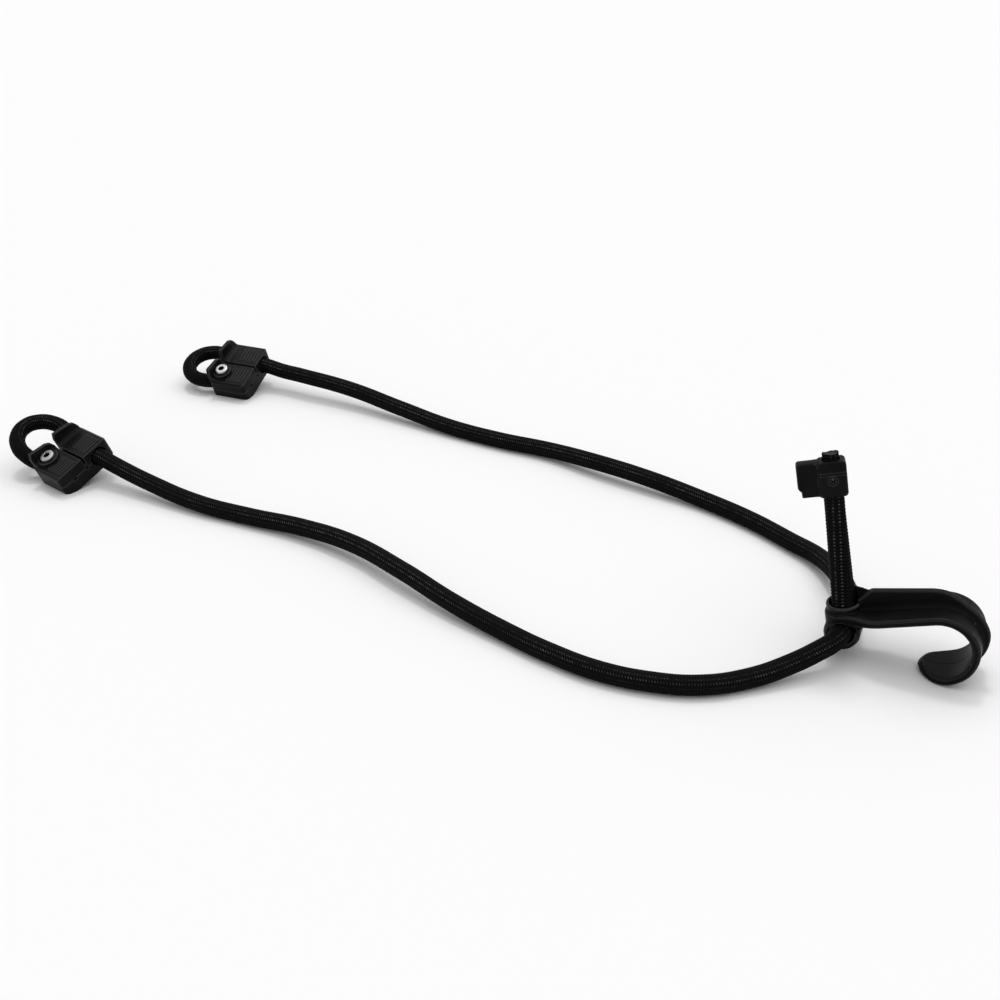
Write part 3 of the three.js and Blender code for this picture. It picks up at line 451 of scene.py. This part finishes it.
def turned_piece(name, rings, place, through=False, socket=(0, 0)):
    """Piece drawn up ring by ring: radius, height and number of flats, none where it is round.

    Faces within the socket's radius and above its floor take the second finish, a darker one that paints
    shade into the socket.
    """
    bm = bmesh.new()
    bmesh.ops.create_circle(bm, cap_ends=not through, radius=rings[0][0], segments=TURNED_SIDES)
    bmesh.ops.translate(bm, verts=bm.verts, vec=(0, 0, rings[0][1]))
    start = list(bm.edges)
    rim = start
    for radius, height, flats in rings[1:]:
        drawn = bmesh.ops.extrude_edge_only(bm, edges=rim)["geom"]
        new_verts = {part for part in drawn if isinstance(part, bmesh.types.BMVert)}
        new_edges = [part for part in drawn if isinstance(part, bmesh.types.BMEdge)]
        rim = [edge for edge in new_edges if set(edge.verts) <= new_verts]
        for vert in new_verts:
            angle = math.atan2(vert.co.y, vert.co.x)
            reach = radius
            if flats:
                half_flat = math.pi / flats
                reach *= math.cos(half_flat) / math.cos(angle % (2 * half_flat) - half_flat)
            vert.co = Vector((reach * math.cos(angle), reach * math.sin(angle), height))
    if through:
        bmesh.ops.bridge_loops(bm, edges=rim + start)
    else:
        bmesh.ops.holes_fill(bm, edges=rim, sides=0)
    bmesh.ops.recalc_face_normals(bm, faces=bm.faces)
    for face in bm.faces:
        middle = face.calc_center_median()
        face.material_index = int(middle.xy.length < socket[0] and middle.z > socket[1])
    bmesh.ops.transform(bm, matrix=place, verts=bm.verts)
    turned = link(name, bm)
    edges = turned.modifiers.new("edges", "BEVEL")
    edges.width = TURNED_EDGE
    edges.segments = 2
    edges.limit_method = "ANGLE"
    return turned


def loop_points(reach, lift, roll):
    """From the tail's blind end, round the loop and back into the strand's lobe, in the clamp's frame."""
    points = [(x, -LOBE, CORD_LEVEL) for x in (TAIL_END, 0, -0.6 * HALF_LENGTH, -0.9 * HALF_LENGTH)]
    for i in range(LOOP_STEPS + 1):
        angle = math.pi + LOOP_SWEEP * (1 - 2 * i / LOOP_STEPS)
        x = -reach + LOOP_RADIUS * math.cos(angle)
        y = LOOP_RADIUS * math.sin(angle)
        out = -x - HALF_LENGTH
        share = min(1, max(0, out / (reach - HALF_LENGTH)))
        share = share * share * (3 - 2 * share)
        rise = out * math.tan(math.radians(lift)) + y * math.tan(math.radians(roll))
        points.append((x, y, CORD_LEVEL + share * rise))
    points += [(x, LOBE, CORD_LEVEL) for x in (-0.9 * HALF_LENGTH, -0.6 * HALF_LENGTH, 0, STRAND_END)]
    return [Vector(point) for point in points]


for side, clamp in CLAMPS.items():
    lie = (
        Matrix.Scale(MM, 4)
        @ Matrix.Translation((*clamp["place"], CLAMP_RISE))
        @ Matrix.Rotation(math.radians(clamp["heading"]), 4, "Z")
        @ Matrix.Rotation(CLAMP_ROLL, 4, "X")
    )
    route = [lie @ point for point in loop_points(clamp["reach"], clamp["lift"], clamp["roll"])]
    line = even_line(route, STITCH / STEPS_PER_STITCH)
    loop = braided_sleeve(side + "_cord_loop", line, round_section(HELD_RADIUS), UP, BRAID_RELIEF)
    loop.data.materials.append(black_braid)
    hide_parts(side + "_loop")
    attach(loop, "anchors")
    halves = {}
    for part in ("base", "cap"):
        node = f"{side}_clamp_{part}"
        halves[part] = moulded_copy(node + "_moulding", node, CLAMP_VOXEL, CLAMP_EASING, SEAM_FILL)
        halves[part].data.materials.append(clamp_black)
        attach(halves[part], "anchors")
    for vert in halves["cap"].data.vertices:
        place = lie.inverted() @ vert.co
        if place.z > BOSS_TOP:
            place.z = BOSS_TOP + (place.z - BOSS_TOP) * LIP_DRAW
            vert.co = lie @ place
    boss = lie @ Matrix.Translation((BOSS_X, -LOBE, 0))
    screw = turned_piece(side + "_socket_screw", CLAMP_SCREW, boss, socket=CLAMP_SOCKET_SHADE)
    screw.data.materials.append(bright_steel)
    # Painted shade: the socket's faces take blackened steel inside the bright screw.
    screw.data.materials.append(black_steel)
    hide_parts(side + "_clamp_screw")
    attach(screw, "anchors")
    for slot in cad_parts[side + "_clamp_insert"].material_slots:
        slot.material = turned_brass

# Hook.
# One moulding of glass-filled nylon: a strip that bends over a rail, a rib on its back,
# a barrel that takes the two strands in from its sides and a collar that they come up through.
HOOK_VOXEL = 0.32 * MM
HOOK_EASING = 8

# The hook's convex edges take a painted highlight in its base colour.
hook_black = satin_finish("hook_black", tone=0.0055, shine=0.034, edge_highlight_tone=0.038, parting=HEAD.y)
hook = moulded_copy("hook_moulding", "hook", HOOK_VOXEL, HOOK_EASING, 0)
hook.data.materials.append(hook_black)
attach(hook, "hook")

# Web in the hook's barrel.
# A thin moulded wall across the middle of the bore keeps the two strands apart
# and closes the bore to light.
WEB_RADIUS = 5.1 * MM
WEB_THICKNESS = 0.4 * MM

bm = bmesh.new()
bmesh.ops.create_cone(
    bm, cap_ends=True, segments=TURNED_SIDES, radius1=WEB_RADIUS, radius2=WEB_RADIUS, depth=WEB_THICKNESS,
    matrix=Matrix.Translation(HEAD) @ Matrix.Rotation(math.pi / 2, 4, "X"),
)
bmesh.ops.bevel(
    bm, geom=bm.edges, offset=0.2 * WEB_THICKNESS, segments=2, profile=0.5, affect="EDGES", material=-1,
    offset_type="OFFSET",
)
web = link("hook_bore_web", bm)
web.data.materials.append(hook_black)
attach(web, "hook")

# Upright strands.
# The two strands turn up inside the barrel and leave the collar side by side,
# squeezed oval against each other, with the braid bunched into short stitches.
STEM_LEAN = math.radians(11.5)
STEM_TWIST = math.radians(15)
PAIR_PITCH = 5.5
TURN_RADIUS = 4.35
TURN_START = math.radians(20)
TURN_STEPS = 4
RISE_STEPS = 8
STOP_FOOT = 58.2
UPRIGHT_TOP = STOP_FOOT + 2
UPRIGHT_WALES = 10
UPRIGHT_DRIFT = 0.95
BORE_HALF = 3.4
PRESSED_HALF_WIDTH = 4.2
PRESSED_HALF_DEPTH = 2.7
PRESSED_FROM = 0.125
WIDTH_TAPER = 0.4
TAPER_START = 0.12
PRESSED_TOWARDS = Vector((0, 1, 0.3))
BUNCHED_STITCH = 1.45 * MM
STEPS_PER_BUNCHED = 6
BUNCHED_RELIEF = 0.28 * MM
stem = Matrix.Translation(HEAD) @ Matrix.Scale(MM, 4) @ Matrix.Rotation(-STEM_LEAN, 4, "Y")


def upright_points(hand):
    """From inside the barrel, round the turn and up into the stop clamp, twisting as it rises."""
    points = []
    for i in range(TURN_STEPS + 1):
        turn = TURN_START + i / TURN_STEPS * (math.pi / 2 - TURN_START)
        y = PAIR_PITCH / 2 + TURN_RADIUS * (1 - math.sin(turn))
        points.append(Vector((0, hand * y, TURN_RADIUS * (1 - math.cos(turn)))))
    for i in range(1, RISE_STEPS + 1):
        height = TURN_RADIUS + (UPRIGHT_TOP - TURN_RADIUS) * i / RISE_STEPS
        twist = STEM_TWIST * min(1, (height - TURN_RADIUS) / (STOP_FOOT - TURN_RADIUS))
        points.append(Matrix.Rotation(twist, 3, "Z") @ Vector((0, hand * PAIR_PITCH / 2, height)))
    return points


def upright_section(share):
    """Round in the barrel, then flattened against its twin and a little narrower towards the top."""
    squeeze = min(1, share / PRESSED_FROM)
    half_width = BORE_HALF + (PRESSED_HALF_WIDTH - BORE_HALF) * squeeze
    half_width -= WIDTH_TAPER * max(0, share - TAPER_START)
    half_depth = BORE_HALF + (PRESSED_HALF_DEPTH - BORE_HALF) * squeeze
    return half_width * MM, half_depth * MM


BUNCHED_TRACERS = [(0, 0.03), (0.5, 0.1), (0.65, 0.4), (0.95, 0.03)]
bunched_braid = braid_finish(
    "bunched_braid", BUNCHED_TRACERS, dash_width=0.15, dash_reach=0.27, dash_lean=0
)
for side, hand in (("front", -1), ("rear", 1)):
    line = even_line([stem @ point for point in upright_points(hand)], BUNCHED_STITCH / STEPS_PER_BUNCHED)
    across = (stem.to_3x3() @ PRESSED_TOWARDS).normalized()
    upright = braided_sleeve(
        side + "_upright", line, upright_section, across, BUNCHED_RELIEF,
        UPRIGHT_WALES, BUNCHED_STITCH, UPRIGHT_DRIFT,
    )
    upright.data.materials.append(bunched_braid)
    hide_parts(side + "_upright_sheath", side + "_upright_core")
    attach(upright, "hook")
    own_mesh(upright)

# Stop clamp.
# A small moulded body with a pull tab, and a cover on its back, grip the two cut cord ends.
# Both have soft edges, and a fine groove crosses the body's front below a band that leans back.
STOP_VOXEL = 0.18 * MM
STOP_EASING = 3
STOP_HALF_WIDTH = 5.3
STOP_HEIGHT = 14.2
STOP_FRONT = 7
STOP_REAR = 7.6
STOP_RADIUS = 1.5
COVER_DROP = 4.6
TAB_END = -12.9
TAB_FRONT = -5
TAB_BACK = -0.4
TAB_GROWTH = 2
TAB_RADIUS = 1.1
TAB_FILLET = 1.2
TAB_ROOT = 1
FILLET_SKIN = 0.3
TOUCH = 0.01
TINY = 1e-9
BAND_DROP = 4.2
BAND_LEAN = 0.2
GROOVE_WIDTH = 0.55
GROOVE_DEPTH = 0.35
BODY_PASSES = 4
TAB_PASSES = 20
STOP_TOP = STOP_FOOT + STOP_HEIGHT
COVER_TOP = STOP_TOP - COVER_DROP
STOP_BOXES = {
    "body": [
        ((-STOP_HALF_WIDTH, -STOP_FRONT, STOP_FOOT), (STOP_HALF_WIDTH, STOP_FRONT, STOP_TOP), STOP_RADIUS),
        ((TAB_END, TAB_FRONT, STOP_FOOT), (0, TAB_BACK, STOP_TOP), TAB_RADIUS),
    ],
    "cover": [
        ((-STOP_HALF_WIDTH, -STOP_REAR, STOP_FOOT), (STOP_HALF_WIDTH, STOP_REAR, COVER_TOP), STOP_RADIUS),
    ],
}
stop_turn = stem @ Matrix.Rotation(STEM_TWIST, 4, "Z")


def held_in(place, low, high, radius):
    """The nearest place in a box whose edges are rounded."""
    core = Vector([min(max(at, a + radius), b - radius) for at, a, b in zip(place, low, high)])
    away = place - core
    return core + away * min(1, radius / max(away.length, TINY))


def filleted(place):
    """The corner between the tab's front and the body's side, filled with a soft fillet."""
    beside = -STOP_HALF_WIDTH - place.x
    before = TAB_FRONT - place.y
    if max(beside, before) > TAB_FILLET or min(beside, before) < -FILLET_SKIN:
        return place
    from_middle = Vector((beside - TAB_FILLET, before - TAB_FILLET))
    beside, before = from_middle.normalized() * TAB_FILLET + Vector((TAB_FILLET, TAB_FILLET))
    return Vector((-STOP_HALF_WIDTH - beside, TAB_FRONT - before, place.z))


def banded(place):
    """The front face with a fine groove across it, above which it leans back."""
    front = min(1, max(0, (STOP_RADIUS - STOP_FRONT - place.y) / STOP_RADIUS))
    above = place.z - (STOP_TOP - BAND_DROP)
    inward = GROOVE_DEPTH if -GROOVE_WIDTH < above < 0 else BAND_LEAN * max(0, above)
    return place + Vector((0, front * inward, 0))


for part, boxes in STOP_BOXES.items():
    half = moulded_copy("stop_" + part + "_moulding", "stop_" + part, STOP_VOXEL, STOP_EASING, SEAM_FILL)
    for vert in half.data.vertices:
        place = stop_turn.inverted() @ vert.co
        in_tab = TAB_FRONT + TAB_GROWTH - TOUCH < place.y < TAB_BACK
        if place.x < TOUCH - STOP_HALF_WIDTH and in_tab:
            thin = TAB_FRONT + TAB_GROWTH - TAB_BACK
            place.y = TAB_BACK + (place.y - TAB_BACK) * (TAB_FRONT - TAB_BACK) / thin
            vert.co = stop_turn @ place
    bpy.context.view_layer.update()
    drawn = half.evaluated_get(bpy.context.evaluated_depsgraph_get())
    bm = bmesh.new()
    bm.from_mesh(drawn.to_mesh())
    for vert in bm.verts:
        place = stop_turn.inverted() @ vert.co
        held = [held_in(place, *box) for box in boxes]
        place = min(held, key=lambda at: (at - place).length)
        if part == "body":
            place = banded(filleted(place))
        vert.co = stop_turn @ place
    tab = [vert for vert in bm.verts if (stop_turn.inverted() @ vert.co).x < -STOP_HALF_WIDTH - TAB_ROOT]
    for eased in [list(bm.verts)] * BODY_PASSES + [tab] * TAB_PASSES:
        bmesh.ops.smooth_vert(
            bm, verts=eased, factor=0.5, use_axis_x=True, use_axis_y=True, use_axis_z=True
        )
    half.modifiers.clear()
    bm.to_mesh(half.data)
    bm.free()
    half.data.materials.append(hook_black)
    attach(half, "stop")

# Back wall of the stop's body.
# It stands above the lower cover, is moulded with the body
# and closes the front cord's channel behind the cut end.
WALL_HALF = Vector((5.2, 0.7, 2.25))
WALL_RADIUS = 1.5
WALL_SHIFT = 0.1
WALL_DROP = 0.05
WALL_MIDDLE = Vector((0, -WALL_SHIFT, STOP_TOP - WALL_HALF.z - WALL_DROP))

bm = bmesh.new()
bmesh.ops.create_cube(bm, size=2)
bmesh.ops.scale(bm, vec=WALL_HALF, verts=bm.verts)
across_wall = [edge for edge in bm.edges if abs(edge.verts[0].co.y - edge.verts[1].co.y) > WALL_HALF.y]
bmesh.ops.bevel(
    bm, geom=across_wall, offset=WALL_RADIUS, segments=6, profile=0.5, affect="EDGES", material=-1,
    offset_type="OFFSET",
)
rims = [edge for edge in bm.edges if abs(edge.verts[0].co.y - edge.verts[1].co.y) < WALL_HALF.y]
bmesh.ops.bevel(
    bm, geom=rims, offset=0.6 * WALL_HALF.y, segments=4, profile=0.5, affect="EDGES", material=-1,
    offset_type="OFFSET",
)
bmesh.ops.translate(bm, vec=WALL_MIDDLE, verts=bm.verts)
bmesh.ops.transform(bm, matrix=stop_turn, verts=bm.verts)
for face in bm.faces:
    face.smooth = True
wall = link("stop_back_wall", bm)
wall.data.materials.append(hook_black)
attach(wall, "stop")

# Stop screw and nut.
# A blackened steel socket screw goes in from the stop's front and through both cords.
# It draws up on a bright hexagon nut that sits in the back of the cover.
HEAD_SINK = 0.5
HEAD_DEPTH = 0.9
HEAD_FACE = STOP_FRONT - HEAD_SINK
HEAD_FOOT = HEAD_FACE - HEAD_DEPTH
STOP_SOCKET_SHADE = (1.3, HEAD_FOOT)
STOP_THREAD = [(1.2 - 0.18 * (i % 2), 0.6 - STOP_REAR + 0.25 * i, 0) for i in range(52)]
STOP_SCREW = [
    (0.7, 0.3 - STOP_REAR, 0), *STOP_THREAD,
    (1.2, HEAD_FOOT, 0), (1.55, HEAD_FOOT, 0), (1.55, HEAD_FACE - 0.2, 0),
    (1.4, HEAD_FACE, 0), (1.2, HEAD_FACE, 0), (1.1, HEAD_FACE - 0.1, 6),
    (1.05, HEAD_FACE - 0.75, 6), (0.5, HEAD_FACE - 0.95, 0),
]
NUT = [
    (1.35, 1.5 - STOP_REAR, 0), (2.25, 1.5 - STOP_REAR, 0), (2.6, 1.3 - STOP_REAR, 6),
    (2.6, 0.2 - STOP_REAR, 6), (2.25, -STOP_REAR, 0), (1.5, -STOP_REAR, 0), (1.35, 0.15 - STOP_REAR, 0),
]
screw_middle = Matrix.Translation((0, 0, STOP_FOOT + STOP_HEIGHT / 2))
screw_lie = stop_turn @ screw_middle @ Matrix.Rotation(math.pi / 2, 4, "X")

screw = turned_piece("stop_socket_screw", STOP_SCREW, screw_lie, socket=STOP_SOCKET_SHADE)
screw.data.materials.append(black_steel)
# Painted shade: the socket's walls take the hook's black plastic finish; the small cap at its floor keeps
# the steel.
screw.data.materials.append(hook_black)
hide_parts("stop_screw")
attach(screw, "stop")

nut = turned_piece("stop_hex_nut", NUT, screw_lie, through=True)
nut.data.materials.append(bright_steel)
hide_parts("stop_nut")
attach(nut, "stop")

# Cut cord ends.
# The two strands end above the stop, squeezed smaller, with the rubber threads showing
# in the cut and slightly frayed braid.
STUB_FOOT = UPRIGHT_TOP + 0.3
STUB_RISE = 1.9
CUT_RISE = 2.6
FRAY = 0.2
STUB_SHARE = 0.24
STUB_HALF_WIDTH = 3.8
STUB_HALF_DEPTH = 2.5
RIM_WIDTH_LOSS = 0.7
RIM_DEPTH_LOSS = 0.5
CUT_WALL = 0.6 * MM
CUT_SINK = 0.3 * MM
THREADS_SCALE = 1500.0
THREAD_GAP_SHADE_TONES = ((0.014, 0.013, 0.012), (0.004, 0.004, 0.004))


def rubber_finish():
    """Cut bundle of rubber threads: close round ends in a dull dark mass, with painted shade in the gaps
    between them.
    """
    material, surface, add, links = shader("rubber_threads")
    coords = add("TexCoord")
    cells = add("TexVoronoi", {"Vector": coords.outputs["Object"], "Scale": THREADS_SCALE})
    from_middle = cells.outputs["Distance"]
    # Painted shade: the gaps between the thread ends are coloured darker than their middles.
    links.new(two_toned(add, from_middle, (0.2, 0.6), THREAD_GAP_SHADE_TONES), surface.inputs["Base Color"])
    bump = add("Bump", {"Strength": 0.8, "Distance": 0.2 * MM, "Height": from_middle}, invert=True)
    links.new(bump.outputs["Normal"], surface.inputs["Normal"])
    surface.inputs["Roughness"].default_value = 0.85
    return material


rubber_threads = rubber_finish()


def stub_section(share):
    """Full width in the stop, drawn in at the rim."""
    drawn_in = min(1, max(0, (share - 1 + 2 * STUB_SHARE) / STUB_SHARE))
    half_width = STUB_HALF_WIDTH - RIM_WIDTH_LOSS * drawn_in
    half_depth = STUB_HALF_DEPTH - RIM_DEPTH_LOSS * drawn_in
    return half_width * MM, half_depth * MM


for side, hand in (("front", -1), ("rear", 1)):
    rim = COVER_TOP if hand > 0 else STOP_TOP
    heights = (STUB_FOOT, rim - STUB_RISE, rim, rim + CUT_RISE)
    knots = [stop_turn @ Vector((0, hand * PAIR_PITCH / 2, z)) for z in heights]
    line = even_line(knots, BUNCHED_STITCH / STEPS_PER_BUNCHED)
    across = (stop_turn.to_3x3() @ Vector((0, 1, 0))).normalized()
    stub = braided_sleeve(
        side + "_cut_end", line, stub_section, across, BRAID_RELIEF, UPRIGHT_WALES, BUNCHED_STITCH
    )
    stub.data.materials.append(bunched_braid)
    stub.data.materials.append(rubber_threads)
    bm = bmesh.new()
    bm.from_mesh(stub.data)
    for vert in bm.verts:
        place = stop_turn.inverted() @ vert.co
        above = max(0, place.z - rim) / CUT_RISE
        angle = math.atan2(place.y - hand * PAIR_PITCH / 2, place.x)
        place.z += FRAY * above * (math.sin(2 * angle + 0.6) + 0.6 * math.sin(5 * angle))
        vert.co = stop_turn @ place
    end_faces = [face for face in bm.faces if len(face.verts) > 4]
    cut_face = max(end_faces, key=lambda face: face.calc_center_median().z)
    bmesh.ops.inset_region(bm, faces=[cut_face], thickness=CUT_WALL, depth=-CUT_SINK)
    cut_face.material_index = 1
    bm.to_mesh(stub.data)
    bm.free()
    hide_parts(side + "_cord_end")
    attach(stub, "stop")

# Floor and light.
# The cord lies on a wide white paper floor in a plain pale room, under one very broad soft lamp.
# A smaller lamp, above and a little behind it, draws the satin edges.
FLOOR_TONE = 0.93
FLOOR_SIZE = 20
ROOM_LIGHT = 0.5
ROOM_WHITE = 0.97
LAMPS = {
    "soft_lamp": {"strength": 1.3, "spread": 85, "from": (0.08, 0.16, 1)},
    "edge_lamp": {"strength": 0.48, "spread": 10, "from": (-0.2, 0.3, 1)},
}

bm = bmesh.new()
bmesh.ops.create_grid(bm, x_segments=1, y_segments=1, size=FLOOR_SIZE)
floor = link("floor", bm)
paper, paper_surface = shader("white_paper")[:2]
paper_surface.inputs["Base Color"].default_value = (FLOOR_TONE, FLOOR_TONE, FLOOR_TONE, 1)
paper_surface.inputs["Roughness"].default_value = 0.9
paper_surface.inputs["Specular IOR Level"].default_value = 0.1
floor.data.materials.append(paper)

world = bpy.data.worlds.new("room")
world.use_nodes = True
room_nodes = world.node_tree.nodes
room_links = world.node_tree.links
room_nodes["Background"].inputs["Color"].default_value = (1, 1, 1, 1)
seen = room_nodes.new("ShaderNodeLightPath")
direct = room_nodes.new("ShaderNodeMath")
mirrored = room_nodes.new("ShaderNodeMath")
level = room_nodes.new("ShaderNodeMapRange")
level.inputs["To Min"].default_value = ROOM_LIGHT
level.inputs["To Max"].default_value = ROOM_WHITE
room_links.new(seen.outputs["Is Camera Ray"], direct.inputs[0])
room_links.new(seen.outputs["Is Glossy Ray"], direct.inputs[1])
room_links.new(direct.outputs[0], mirrored.inputs[0])
room_links.new(seen.outputs["Is Transmission Ray"], mirrored.inputs[1])
room_links.new(mirrored.outputs[0], level.inputs["Value"])
room_links.new(level.outputs[0], room_nodes["Background"].inputs["Strength"])
bpy.context.scene.world = world

for name, setting in LAMPS.items():
    light = bpy.data.lights.new(name, "SUN")
    light.energy = setting["strength"]
    light.angle = math.radians(setting["spread"])
    lamp = bpy.data.objects.new(name, light)
    lamp.rotation_euler = (-Vector(setting["from"])).to_track_quat("-Z", "Y").to_euler()
    bpy.context.scene.collection.objects.link(lamp)

bpy.context.view_layer.update()
